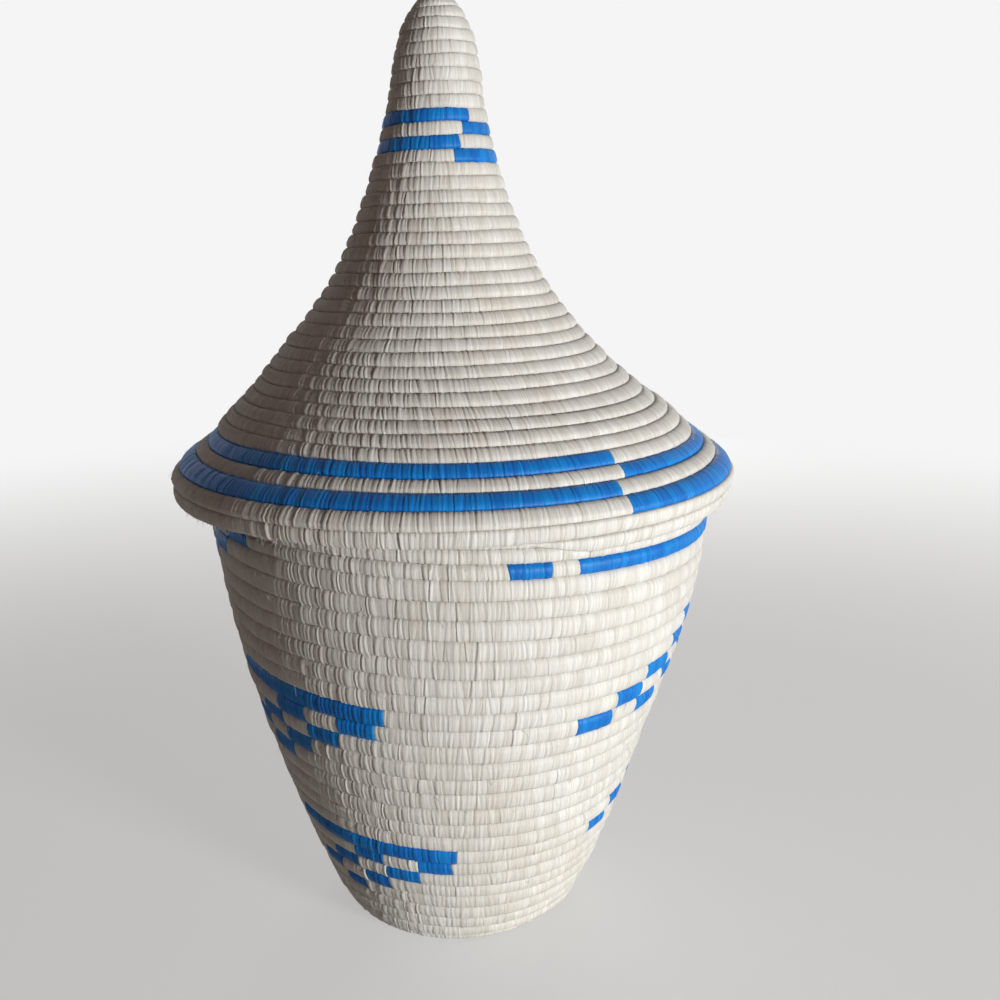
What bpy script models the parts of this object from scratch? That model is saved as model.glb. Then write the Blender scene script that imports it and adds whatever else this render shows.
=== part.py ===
"""A coiled basket with a tall lid, in metres, +Z up. Its origin is on the floor under the basket's middle.

The basket is two coils of wrapped grass, each sewn round and round into a wall. Every turn of a coil is a
course, which shows as a rib. Natural courses are turned shells. Lengths wrapped in blue lie in the outer face
of the wall. Azimuth is in degrees, 0 at the front (-Y) and growing towards +X.
"""

import math

import bmesh
import bpy

# Driving dimensions of the basket body
BODY_HEIGHT = 0.2470
FOOT_RADIUS = 0.0570
HEEL_RADIUS = 0.0670
HEEL_HEIGHT = 0.0100
LOW_WALL_RADIUS = 0.0842
LOW_WALL_HEIGHT = 0.0530
MID_WALL_RADIUS = 0.1013
MID_WALL_HEIGHT = 0.1070
HIGH_WALL_RADIUS = 0.1158
HIGH_WALL_HEIGHT = 0.1580
SHOULDER_RADIUS = 0.1240
SHOULDER_HEIGHT = 0.2050
MOUTH_RADIUS = 0.1260
WALL_COURSES = 30
WALL_FIRST_TO_LAST = 0.86
FINE_COURSES = 5
BELOW_FINE_COURSES = 0.871
WALL_THICKNESS = 0.0072
WALL_GROOVE = 0.0012
HEEL_COURSES = 3
NECK_COURSES = 3
BASE_THICKNESS = 0.0070
BUTTON_RADIUS = 0.0065

# Driving dimensions of the lid, with heights above its brim's lowest edge
LID_HEIGHT = 0.2325
CROWN_RADIUS = 0.0110
CROWN_HEIGHT = 0.2260
TIP_RADIUS = 0.0188
TIP_HEIGHT = 0.2090
SPIRE_RADIUS = 0.0234
SPIRE_HEIGHT = 0.1821
NECK_RADIUS = 0.0297
NECK_HEIGHT = 0.1571
FLARE_RADIUS = 0.0407
FLARE_HEIGHT = 0.1266
CONE_RADIUS = 0.0575
CONE_HEIGHT = 0.0951
SKIRT_RADIUS = 0.0890
SKIRT_HEIGHT = 0.0586
HIP_RADIUS = 0.1098
HIP_HEIGHT = 0.0400
BROW_RADIUS = 0.1195
BROW_HEIGHT = 0.0298
EAVE_RADIUS = 0.1318
EAVE_HEIGHT = 0.0205
BRIM_RADIUS = 0.1393
BRIM_HEIGHT = 0.0130
BRIM_UNDER_RADIUS = 0.1375
KNOT_LENGTH = 0.0090
LID_COURSES = 41
LID_FIRST_TO_LAST = 0.745
LID_THICKNESS = 0.0056
LID_GROOVE = 0.0009
SPIRE_COURSES = 15
SHOULDER_COURSES = 6
SPIRE_BLUE_COURSES = (9, 11)
SHOULDER_BLUE_COURSES = (35, 37)
COLLAR_COURSES = 3
COLLAR_COURSE_HEIGHT = 0.0066
COLLAR_THICKNESS = 0.0055
COLLAR_CLEARANCE = 0.0012

# Driving dimensions shared by the pieces
CLEARANCE = 0.0003
LID_SEAT_GAP = 0.00045
WRAP_THICKNESS = 0.0018
POCKET_OVERCUT = 0.0012
BLOCK_LAP = 0.0030
BAND_LEAD = 0.0044
LARGEST_STEP = 11.0
TURN_STEPS = 28
SPIRE_STEPS = 20
SPLINE_STEPS = 12
ROUND_POINTS = 10
COURSES_PER_INNER_FACET = 3
UNDERSIDE_POINTS = 180
SHARP_EDGE_DEGREES = 40.0
MERGE_DISTANCE = 0.00001

# The stepped motifs climb round the wall: top course, azimuth of the right end, width of a block in degrees,
# length of the top band in blocks, and the courses that the right and the left stair go down
MOTIFS = {
    "motif_low_front_blue": (9, -0.6, 11.1, 5.6, 4, 3),
    "motif_low_right_blue": (13, 116.0, 11.1, 2.6, 4, 4),
    "motif_low_back_blue": (15, 232.0, 11.1, 5.6, 4, 4),
    "motif_middle_left_blue": (18, -18.0, 10.3, 4.9, 4, 3),
    "motif_middle_right_blue": (21, 93.2, 10.3, 2.6, 4, 4),
    "motif_middle_back_blue": (24, 208.0, 10.3, 4.9, 4, 4),
    "motif_rim_left_blue": (WALL_COURSES - NECK_COURSES, -49.5, 10.3, 0.0, 4, 0),
}
RIM_PATTERN_COURSE = WALL_COURSES - 1 - NECK_COURSES
RIM_BAND = (22.8, 196.0)
RIM_DASH = (8.8, 16.8)

NATURAL = (0.68, 0.60, 0.45)
BLUE = (0.010, 0.115, 0.56)
WRAP_ROUGHNESS = 0.78


def clear_scene():
    for item in list(bpy.data.objects):
        bpy.data.objects.remove(item, do_unlink=True)


def new_collection(name):
    collection = bpy.data.collections.new(name)
    bpy.context.scene.collection.children.link(collection)
    return collection


def new_material(name, colour):
    material = bpy.data.materials.new(name)
    material.diffuse_color = (*colour, 1.0)
    material.use_nodes = True
    surface = material.node_tree.nodes["Principled BSDF"]
    surface.inputs["Base Color"].default_value = (*colour, 1.0)
    surface.inputs["Roughness"].default_value = WRAP_ROUGHNESS
    surface.inputs["Metallic"].default_value = 0.0
    return material


def smooth_curve(stations):
    """Points of a smooth curve through the stations (radius, height), from Catmull-Rom spans."""
    first = (2 * stations[0][0] - stations[1][0], 2 * stations[0][1] - stations[1][1])
    last = (2 * stations[-1][0] - stations[-2][0], 2 * stations[-1][1] - stations[-2][1])
    ends = [first, *stations, last]
    points = []
    for i in range(1, len(ends) - 2):
        for step in range(SPLINE_STEPS):
            t = step / SPLINE_STEPS
            four = ends[i - 1:i + 3]
            points.append(tuple(catmull_rom(*(end[k] for end in four), t) for k in (0, 1)))
    points.append(tuple(stations[-1]))
    return points


def catmull_rom(before, start, end, after, t):
    a = 2 * start
    b = end - before
    c = 2 * before - 5 * start + 4 * end - after
    d = 3 * start - before - 3 * end + after
    return 0.5 * (a + b * t + c * t * t + d * t ** 3)


class Outline:
    """The outer line of a coiled wall, read by its length from the first station."""

    def __init__(self, stations, raised=0.0):
        self.points = [(r, z + raised) for r, z in smooth_curve(stations)]
        self.lengths = [0.0]
        for a, b in zip(self.points, self.points[1:]):
            self.lengths.append(self.lengths[-1] + math.dist(a, b))
        self.length = self.lengths[-1]

    def at(self, length, depth=0.0):
        """The point at this length, set in from the outer line by the depth."""
        r, z = self.plain(length)
        along_r, along_z = self.direction(length)
        return (r + self.side * along_z * depth, z - self.side * along_r * depth)

    def direction(self, length):
        """Unit tangent, averaged over a short stretch so that ribs turn smoothly with the wall."""
        reach = self.length / len(self.points)
        a = self.plain(max(0.0, length - reach))
        b = self.plain(min(self.length, length + reach))
        size = math.dist(a, b)
        return (b[0] - a[0]) / size, (b[1] - a[1]) / size

    def plain(self, length):
        """The point of the outer line itself at this length."""
        i = 0
        while i < len(self.lengths) - 2 and self.lengths[i + 1] < length:
            i += 1
        t = (length - self.lengths[i]) / (self.lengths[i + 1] - self.lengths[i])
        a = self.points[i]
        b = self.points[i + 1]
        return (a[0] + (b[0] - a[0]) * t, a[1] + (b[1] - a[1]) * t)

    @property
    def side(self):
        """-1 where the line climbs, as on the basket, and +1 where it goes down, as on the lid."""
        return -1.0 if self.points[-1][1] > self.points[0][1] else 1.0


def course_bounds(start, end, courses, first_to_last):
    """Lengths at which the courses meet. The coil thickens evenly from its first course to its last."""
    sizes = [first_to_last + (1 - first_to_last) * k / (courses - 1) for k in range(courses)]
    scale = (end - start) / sum(sizes)
    bounds = [start]
    for size in sizes:
        bounds.append(bounds[-1] + size * scale)
    return bounds


def wall_bounds(outline):
    """Lengths at which the basket's courses meet: growing ones up the wall, then finer ones to the rim."""
    below = WALL_COURSES - FINE_COURSES
    low = course_bounds(0.0, outline.length * BELOW_FINE_COURSES, below, WALL_FIRST_TO_LAST)
    high = course_bounds(low[-1], outline.length, FINE_COURSES, 1.0)
    return low + high[1:]


def body_outline():
    return Outline([
        (FOOT_RADIUS, 0.0),
        (HEEL_RADIUS, HEEL_HEIGHT),
        (LOW_WALL_RADIUS, LOW_WALL_HEIGHT),
        (MID_WALL_RADIUS, MID_WALL_HEIGHT),
        (HIGH_WALL_RADIUS, HIGH_WALL_HEIGHT),
        (SHOULDER_RADIUS, SHOULDER_HEIGHT),
        (MOUTH_RADIUS, BODY_HEIGHT),
    ])


def lid_outline(raised):
    return Outline([
        (0.0, LID_HEIGHT),
        (CROWN_RADIUS, CROWN_HEIGHT),
        (TIP_RADIUS, TIP_HEIGHT),
        (SPIRE_RADIUS, SPIRE_HEIGHT),
        (NECK_RADIUS, NECK_HEIGHT),
        (FLARE_RADIUS, FLARE_HEIGHT),
        (CONE_RADIUS, CONE_HEIGHT),
        (SKIRT_RADIUS, SKIRT_HEIGHT),
        (HIP_RADIUS, HIP_HEIGHT),
        (BROW_RADIUS, BROW_HEIGHT),
        (EAVE_RADIUS, EAVE_HEIGHT),
        (BRIM_RADIUS, BRIM_HEIGHT),
        (BRIM_UNDER_RADIUS, 0.0),
    ], raised)


def add_profile(name, points, closed, material, collection, steps):
    """A turned piece: the profile at +X, down its outer side, with a Screw modifier about Z."""
    mesh = bpy.data.meshes.new(name)
    edges = [(i, i + 1) for i in range(len(points) - 1)]
    if closed:
        edges.append((len(points) - 1, 0))
    mesh.from_pydata([(r, 0.0, z) for r, z in points], edges, [])
    piece = bpy.data.objects.new(name, mesh)
    mesh.materials.append(material)
    collection.objects.link(piece)
    turn = piece.modifiers.new("Turn", "SCREW")
    turn.axis = "Z"
    turn.steps = steps
    turn.render_steps = steps
    turn.use_merge_vertices = True
    turn.merge_threshold = MERGE_DISTANCE
    turn.use_smooth_shade = True
    return piece


def outer_ribs(outline, bounds, first, last, groove, recessed=()):
    """The scalloped outer line of some courses: a groove where courses meet and a crest between them.

    A recessed course leaves room for its blue wrap.
    """
    start = bounds[first] + CLEARANCE / 2
    end = bounds[last] - CLEARANCE / 2
    points = [outline.at(start, groove)]
    for k in range(first, last):
        low = max(bounds[k], start)
        high = min(bounds[k + 1], end)
        if k in recessed:
            floor = WRAP_THICKNESS + CLEARANCE
            points.append(outline.at(low, floor))
            points.append(outline.at(high, floor))
        else:
            points.append(outline.at((low + high) / 2))
        points.append(outline.at(high, groove))
    return points


def inner_line(outline, bounds, first, last, thickness):
    start = bounds[first] + CLEARANCE / 2
    end = bounds[last] - CLEARANCE / 2
    inside = bounds[first + COURSES_PER_INNER_FACET:last:COURSES_PER_INNER_FACET]
    return [outline.at(length, thickness) for length in (start, *inside, end)]


def shell_profile(outline, bounds, first, last, thickness, groove, recessed=()):
    """The closed section of a stretch of courses, running down its outer side and up its inner side."""
    outer = outer_ribs(outline, bounds, first, last, groove, recessed)
    inner = inner_line(outline, bounds, first, last, thickness)
    if outline.side < 0:
        outer.reverse()
    else:
        inner.reverse()
    return outer + inner


def wrap_ring_profile(outline, bounds, course, groove):
    """One blue course: it fills the outer face of the wall, clear of its natural neighbours."""
    low = bounds[course] + CLEARANCE
    high = bounds[course + 1] - CLEARANCE
    return [
        outline.at(low, groove),
        outline.at((low + high) / 2),
        outline.at(high, groove),
        outline.at(high, WRAP_THICKNESS),
        outline.at(low, WRAP_THICKNESS),
    ]


def round_profile(centre, half_depth, half_length, down):
    """A rounded course: an ellipse whose length lies along down, from its top down the outer side."""
    points = []
    for k in range(ROUND_POINTS):
        angle = 2 * math.pi * k / ROUND_POINTS
        along = -half_length * math.cos(angle)
        out = half_depth * math.sin(angle)
        points.append((centre[0] + along * down[0] - out * down[1],
                       centre[1] + along * down[1] + out * down[0]))
    return points


def azimuth_point(radius, height, degrees):
    angle = math.radians(degrees)
    return (radius * math.sin(angle), -radius * math.cos(angle), height)


def motif_rows(top, right_end, block, band_blocks, right_stair, left_stair, outline, bounds):
    """The filled stretches of each course of a stepped motif, as {course: [(from, to), ...]} in degrees."""
    radius = outline.at(bounds[top])[0]
    lap = math.degrees(BLOCK_LAP / radius)
    lead = math.degrees(BAND_LEAD / radius) if band_blocks else 0.0
    rows = {}
    if band_blocks:
        rows[top - 1] = [(right_end - band_blocks * block, right_end)]
    for shift, depth in ((0, right_stair), (2, left_stair)):
        for step in range(1, depth + 1):
            high = right_end - lead - (step - 1 + shift) * block
            rows.setdefault(top - 1 - step, []).append((high - block - lap / 2, high + lap / 2))
    return rows


def pattern_sheet(rows, outline, bounds, groove):
    """An open sheet on the ribbed outer face: a strip for each filled stretch, on one common set of cuts."""
    cuts = sorted({angle for spans in rows.values() for span in spans for angle in span})
    fine = [cuts[0]]
    for angle in cuts[1:]:
        pieces = max(1, math.ceil((angle - fine[-1]) / LARGEST_STEP))
        start = fine[-1]
        fine.extend(start + (angle - start) * (i + 1) / pieces for i in range(pieces))
    sheet = bmesh.new()
    for course, spans in rows.items():
        line = [
            outline.at(bounds[course], groove),
            outline.at((bounds[course] + bounds[course + 1]) / 2),
            outline.at(bounds[course + 1], groove),
        ]
        for low, high in zip(fine, fine[1:]):
            middle = (low + high) / 2
            if not any(a < middle < b for a, b in spans):
                continue
            near = [sheet.verts.new(azimuth_point(r, z, low)) for r, z in line]
            far = [sheet.verts.new(azimuth_point(r, z, high)) for r, z in line]
            for i in (0, 1):
                sheet.faces.new((near[i], far[i], far[i + 1], near[i + 1]))
    bmesh.ops.remove_doubles(sheet, verts=sheet.verts[:], dist=MERGE_DISTANCE)
    return sheet


def sheet_object(name, sheet, material, collection, thickness, outward):
    """The sheet as an object, moved outward and then thickened inwards by a Solidify modifier."""
    mesh = bpy.data.meshes.new(name)
    sheet.normal_update()
    for vert in sheet.verts:
        vert.co += vert.normal * outward
    sheet.to_mesh(mesh)
    sheet.free()
    mesh.materials.append(material)
    mesh.shade_smooth()
    mesh.set_sharp_from_angle(angle=math.radians(SHARP_EDGE_DEGREES))
    piece = bpy.data.objects.new(name, mesh)
    collection.objects.link(piece)
    wall = piece.modifiers.new("Wrap thickness", "SOLIDIFY")
    wall.thickness = thickness
    wall.offset = -1.0
    wall.use_even_offset = True
    return piece


def add_pattern(name, rows, outline, bounds, material, parts, cutters):
    """A blue length or motif, and the wider cutter that makes its seat in the wall."""
    groove = WALL_GROOVE
    seat = pattern_sheet(rows, outline, bounds, groove)
    cutter = sheet_object(f"{name}_seat", seat, material, cutters,
                          WRAP_THICKNESS + CLEARANCE + POCKET_OVERCUT, POCKET_OVERCUT)
    cutter.hide_render = True
    cutter.display_type = "WIRE"
    sheet = pattern_sheet(rows, outline, bounds, groove)
    trimmed = bmesh.ops.inset_region(sheet, faces=sheet.faces[:], use_boundary=True, use_even_offset=True,
                                     thickness=CLEARANCE, depth=0.0)
    bmesh.ops.delete(sheet, geom=trimmed["faces"], context="FACES")
    return sheet_object(name, sheet, material, parts, WRAP_THICKNESS, 0.0)


def make_base(outline, natural, parts):
    """The flat start of the basket's coil: its first knot and the courses round it, mitred to the heel."""
    foot = outline.at(0.0)
    inner = outline.at(0.0, BASE_THICKNESS)
    slope = (inner[0] - foot[0]) / (inner[1] - foot[1])
    edge_low = foot[0] - 2 * CLEARANCE
    edge_high = edge_low + slope * BASE_THICKNESS
    hole = BUTTON_RADIUS + CLEARANCE
    add_profile("base_start_button", [(0.0, BASE_THICKNESS), (BUTTON_RADIUS, BASE_THICKNESS),
                                      (BUTTON_RADIUS, 0.0), (0.0, 0.0)], False, natural, parts, SPIRE_STEPS)
    add_profile("base_coil", [(edge_high, BASE_THICKNESS), (edge_low, 0.0), (hole, 0.0),
                              (hole, BASE_THICKNESS)], True, natural, parts, TURN_STEPS)


def make_wall(outline, bounds, natural, blue, parts, cutters):
    """The basket's wall, its neck and its rounded rim course, and the blue lengths laid in the wall."""
    neck = WALL_COURSES - 1 - NECK_COURSES
    stretches = {
        "heel_courses": (0, HEEL_COURSES),
        "wall_courses": (HEEL_COURSES, neck),
        "neck_courses": (neck, WALL_COURSES - 1),
    }
    for name, (first, last) in stretches.items():
        profile = shell_profile(outline, bounds, first, last, WALL_THICKNESS, WALL_GROOVE)
        add_profile(name, profile, True, natural, parts, TURN_STEPS)
    rim_low = outline.at(bounds[WALL_COURSES - 1], WALL_THICKNESS / 2)
    upright = (BODY_HEIGHT - rim_low[1] - CLEARANCE) / 2
    centre = (rim_low[0], BODY_HEIGHT - upright)
    rim = round_profile(centre, WALL_THICKNESS / 2, upright, (0.0, -1.0))
    add_profile("rim_course", rim, True, natural, parts, TURN_STEPS)
    patterns = {name: motif_rows(*sizes, outline, bounds) for name, sizes in MOTIFS.items()}
    patterns["rim_band_blue"] = {RIM_PATTERN_COURSE - 1: [RIM_BAND]}
    patterns["rim_dash_blue"] = {RIM_PATTERN_COURSE - 1: [RIM_DASH]}
    for name, rows in patterns.items():
        add_pattern(name, rows, outline, bounds, blue, parts, cutters)
    seats = bpy.data.objects["wall_courses"].modifiers.new("Blue seats", "BOOLEAN")
    seats.operation = "DIFFERENCE"
    seats.operand_type = "COLLECTION"
    seats.collection = cutters
    return rim


def seated_lid(rim):
    """The lid's outer line, raised until its underside rests on the rim course."""
    under = underside(lid_outline(0.0))
    lift = max(z - height_at(under, r) for r, z in rim)
    return lid_outline(lift + LID_SEAT_GAP)


def underside(outline):
    """Points of the lid's inner face, from under its start knot to the brim."""
    first = KNOT_LENGTH + LID_THICKNESS
    step = (outline.length - first) / UNDERSIDE_POINTS
    return [outline.at(first + step * k, LID_THICKNESS) for k in range(UNDERSIDE_POINTS + 1)]


def height_at(line, radius):
    """Height of a line of points at a radius, as high up as the line crosses it."""
    for a, b in zip(line, line[1:]):
        if min(a[0], b[0]) <= radius <= max(a[0], b[0]) and a[0] != b[0]:
            return a[1] + (b[1] - a[1]) * (radius - a[0]) / (b[0] - a[0])
    raise ValueError("the radius is outside the line")


def make_lid(rim, natural, blue, parts):
    """The lid's coil from its start knot, down the spire and cone, to the last course under the brim."""
    outline = seated_lid(rim)
    bounds = course_bounds(KNOT_LENGTH, outline.length, LID_COURSES, LID_FIRST_TO_LAST)
    shoulder = LID_COURSES - 1 - SHOULDER_COURSES
    brim = LID_COURSES - 2
    knot_end = KNOT_LENGTH - CLEARANCE / 2
    knot = [outline.plain(0.0), outline.at(KNOT_LENGTH / 2), outline.at(knot_end, LID_GROOVE)]
    knot.append(outline.at(knot_end, LID_THICKNESS))
    knot.append((0.0, knot[-1][1]))
    add_profile("lid_start_knot", knot, False, natural, parts, SPIRE_STEPS)
    stretches = {
        "lid_spire_courses": (0, SPIRE_COURSES, SPIRE_BLUE_COURSES, SPIRE_STEPS),
        "lid_cone_courses": (SPIRE_COURSES, shoulder, (), TURN_STEPS),
        "lid_shoulder_courses": (shoulder, brim, SHOULDER_BLUE_COURSES, TURN_STEPS),
        "lid_brim_course": (brim, brim + 1, (), TURN_STEPS),
    }
    for name, (first, last, recessed, steps) in stretches.items():
        profile = shell_profile(outline, bounds, first, last, LID_THICKNESS, LID_GROOVE, recessed)
        add_profile(name, profile, True, natural, parts, steps)
    rings = {
        "spire_upper_ring_blue": (SPIRE_BLUE_COURSES[0], SPIRE_STEPS),
        "spire_lower_ring_blue": (SPIRE_BLUE_COURSES[1], SPIRE_STEPS),
        "shoulder_upper_ring_blue": (SHOULDER_BLUE_COURSES[0], TURN_STEPS),
        "shoulder_lower_ring_blue": (SHOULDER_BLUE_COURSES[1], TURN_STEPS),
    }
    for name, (course, steps) in rings.items():
        profile = wrap_ring_profile(outline, bounds, course, LID_GROOVE)
        add_profile(name, profile, True, blue, parts, steps)
    make_turned_course(outline, bounds, natural, parts)
    make_collar(outline, natural, parts)


def make_turned_course(outline, bounds, natural, parts):
    """The lid's last course, a rounded coil turned under the brim and set clear of the brim course."""
    start = bounds[LID_COURSES - 1]
    middle = (start + bounds[LID_COURSES]) / 2
    centre = outline.at(middle, LID_THICKNESS / 2)
    profile = round_profile(centre, LID_THICKNESS / 2, middle - start, outline.direction(middle))
    seam = outline.at(start, LID_THICKNESS / 2)
    down = outline.direction(start)
    reach = min((r - seam[0]) * down[0] + (z - seam[1]) * down[1] for r, z in profile)
    shift = CLEARANCE - reach
    moved = [(r + shift * down[0], z + shift * down[1]) for r, z in profile]
    add_profile("lid_turned_under_course", moved, True, natural, parts, TURN_STEPS)


def make_collar(outline, natural, parts):
    """The collar sewn under the lid. It drops inside the mouth, and its top follows the lid's underside."""
    outside = MOUTH_RADIUS - WALL_THICKNESS - COLLAR_CLEARANCE
    inside = outside - COLLAR_THICKNESS
    under = underside(outline)
    top_outside = height_at(under, outside) - LID_SEAT_GAP
    top_inside = height_at(under, inside) - LID_SEAT_GAP
    height = COLLAR_COURSES * COLLAR_COURSE_HEIGHT
    low = top_outside - height
    outer = [(outside, top_outside)]
    inner = [(inside, top_inside)]
    for k in range(COLLAR_COURSES):
        low_edge = top_outside - (k + 1) * COLLAR_COURSE_HEIGHT
        outer.append((outside, low_edge + COLLAR_COURSE_HEIGHT / 2))
        outer.append((outside - LID_GROOVE, low_edge))
        inner.append((inside, low_edge + COLLAR_COURSE_HEIGHT / 2))
        inner.append((inside + LID_GROOVE, low_edge))
    profile = outer + [(outside - COLLAR_THICKNESS / 2, low - COLLAR_COURSE_HEIGHT / 4)] + inner[::-1]
    add_profile("lid_collar", profile, True, natural, parts, TURN_STEPS)


def main():
    clear_scene()
    parts = new_collection("agaseke_basket")
    cutters = new_collection("cutters")
    cutters.hide_render = True
    natural = new_material("natural sisal wrap", NATURAL)
    blue = new_material("blue dyed sisal wrap", BLUE)
    outline = body_outline()
    bounds = wall_bounds(outline)
    make_base(outline, natural, parts)
    rim = make_wall(outline, bounds, natural, blue, parts, cutters)
    make_lid(rim, natural, blue, parts)


main()
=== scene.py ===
import math

import bpy
import numpy as np
from mathutils import Matrix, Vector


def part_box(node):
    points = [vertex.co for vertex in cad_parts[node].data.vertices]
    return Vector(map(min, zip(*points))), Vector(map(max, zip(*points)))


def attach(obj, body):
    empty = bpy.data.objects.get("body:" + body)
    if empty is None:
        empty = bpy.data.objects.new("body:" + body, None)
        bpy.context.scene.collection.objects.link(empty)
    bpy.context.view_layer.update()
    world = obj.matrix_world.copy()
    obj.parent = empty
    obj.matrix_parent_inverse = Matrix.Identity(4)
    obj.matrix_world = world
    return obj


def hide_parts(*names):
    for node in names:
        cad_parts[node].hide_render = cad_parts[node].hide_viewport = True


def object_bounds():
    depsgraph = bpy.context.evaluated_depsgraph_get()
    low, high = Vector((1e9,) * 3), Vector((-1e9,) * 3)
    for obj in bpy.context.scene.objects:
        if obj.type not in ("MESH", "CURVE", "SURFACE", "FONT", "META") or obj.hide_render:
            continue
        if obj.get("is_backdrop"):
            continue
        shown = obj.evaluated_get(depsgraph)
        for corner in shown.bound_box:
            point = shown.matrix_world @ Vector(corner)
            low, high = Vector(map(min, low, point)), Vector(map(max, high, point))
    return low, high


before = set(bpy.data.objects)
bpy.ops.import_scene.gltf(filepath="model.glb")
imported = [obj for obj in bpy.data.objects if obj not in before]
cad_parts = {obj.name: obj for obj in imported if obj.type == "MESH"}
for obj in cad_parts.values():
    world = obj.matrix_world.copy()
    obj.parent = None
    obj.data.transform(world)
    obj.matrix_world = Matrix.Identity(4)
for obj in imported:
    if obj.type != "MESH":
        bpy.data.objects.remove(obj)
cad_low, cad_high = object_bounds()

# The camera
# The view that the photograph has: half a metre in front of the basket's axis, above its brim and tilted
# down, so courses lower than the camera curve up at their ends, and those of the spire above it curve down.
CAMERA_PLACE = (0.0, -0.5334, 0.3476)
PITCH_DOWN = math.radians(13.74)
YAW_RIGHT = math.radians(2.42)
ROLL = math.radians(-0.37)
SENSOR_WIDTH_MM = 36.0
FOCAL_LENGTH_MM = 38.16

camera_data = bpy.data.cameras.new("camera")
camera_data.sensor_width = SENSOR_WIDTH_MM
camera_data.lens = FOCAL_LENGTH_MM
camera = bpy.data.objects.new("camera", camera_data)
camera.location = CAMERA_PLACE
turned = Matrix.Rotation(-YAW_RIGHT, 3, "Z") @ Matrix.Rotation(math.pi / 2 - PITCH_DOWN, 3, "X")
camera.rotation_euler = (turned @ Matrix.Rotation(ROLL, 3, "Z")).to_euler()
bpy.context.scene.collection.objects.link(camera)
bpy.context.scene.camera = camera

# The basket's coil
# One long bundle of grass, wrapped in sisal and sewn round and round: flat for the base, then up the wall,
# where it thickens slowly, and finer for the last courses. Its end is tapered into the rim at the back.
FOOT_RADIUS = 0.057
BODY_HEIGHT = 0.247
BODY_LINE = [
    (0.0, 0.0), (0.020, 0.0), (0.040, 0.0), (FOOT_RADIUS - 0.004, 0.0), (FOOT_RADIUS, 0.0004),
    (0.0670, 0.0100), (0.0842, 0.0530), (0.1013, 0.1070), (0.1158, 0.1580), (0.1240, 0.2050),
    (0.1260, BODY_HEIGHT),
]
LINE_SPACING = 0.0004
SPAN_STEPS = 40
TANGENT_BLUR = 9


def smooth_line(stations, outer_side):
    """The outer line of a wall, from Catmull-Rom spans through its stations (radius, height).

    Returns evenly spaced lengths along it, its points, and its normals: the tangent turned a quarter
    turn to the outer side, which is +1 for the left of the way along and -1 for the right.
    """
    stations = np.array(stations)
    ends = np.vstack([2 * stations[0] - stations[1], stations, 2 * stations[-1] - stations[-2]])
    t = np.linspace(0, 1, SPAN_STEPS, endpoint=False)[:, None]
    spans = []
    for before, start, end, after in zip(ends, ends[1:], ends[2:], ends[3:]):
        curve = (2 * start + (end - before) * t + (2 * before - 5 * start + 4 * end - after) * t ** 2
                 + (3 * start - before - 3 * end + after) * t ** 3) / 2
        spans.append(curve)
    points = np.vstack([*spans, stations[-1:]])
    reach = np.concatenate([[0], np.cumsum(np.hypot(*np.diff(points, axis=0).T))])
    lengths = np.linspace(0, reach[-1], int(reach[-1] / LINE_SPACING))
    points = np.column_stack([np.interp(lengths, reach, points[:, k]) for k in (0, 1)])
    tangents = np.gradient(points, axis=0)
    blur = np.ones(TANGENT_BLUR) / TANGENT_BLUR
    margin = TANGENT_BLUR // 2
    padded = np.pad(tangents, ((margin, margin), (0, 0)), mode="edge")
    tangents = np.column_stack([np.convolve(padded[:, k], blur, "valid") for k in (0, 1)])
    normals = np.column_stack([-tangents[:, 1], tangents[:, 0]]) * outer_side
    return lengths, points, normals / np.linalg.norm(normals, axis=1)[:, None]


def ease(x, low, high):
    """0 below low and 1 above high, with a smooth step between: 3t^2 - 2t^3."""
    t = np.clip((x - low) / (high - low), 0, 1)
    return t * t * (3 - 2 * t)


SLOW_WANDER = 0.022
SLOW_WAVES_A_TURN = 2.31
QUICK_WANDER = 0.018
QUICK_WAVES_A_TURN = 5.17


def wander(turn, phase):
    """Two waves along a coil, in courses, from a hand that doesn't lay it quite evenly."""
    slow = SLOW_WANDER * np.sin(2 * math.pi * SLOW_WAVES_A_TURN * turn + phase)
    return slow + QUICK_WANDER * np.sin(2 * math.pi * QUICK_WAVES_A_TURN * turn + 2 * phase)


LEAD_IN_TURNS = 0.96
TAPER_TURNS = 0.05
TURN_STEP = 0.002
LEAST_WIDTH = 0.0004
LEAST_RADIUS = 0.0002
SHARED_COURSES = 2
SMALL_RADIUS = 0.03
SMALL_RING_COURSES = 0.25
SHARED_PART = 0.85
OWN_PART = 0.5
WIDTH_SPREAD = 0.20
WIDTH_LIMIT = 0.42
LEAN_SPREAD = 0.17
PROUD_SPREAD = 0.00011
DRAW_LIMIT = 2.5
PLUMP_SPREAD = 0.40
PLUMP_LIMITS = (0.3, 1.9)


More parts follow.
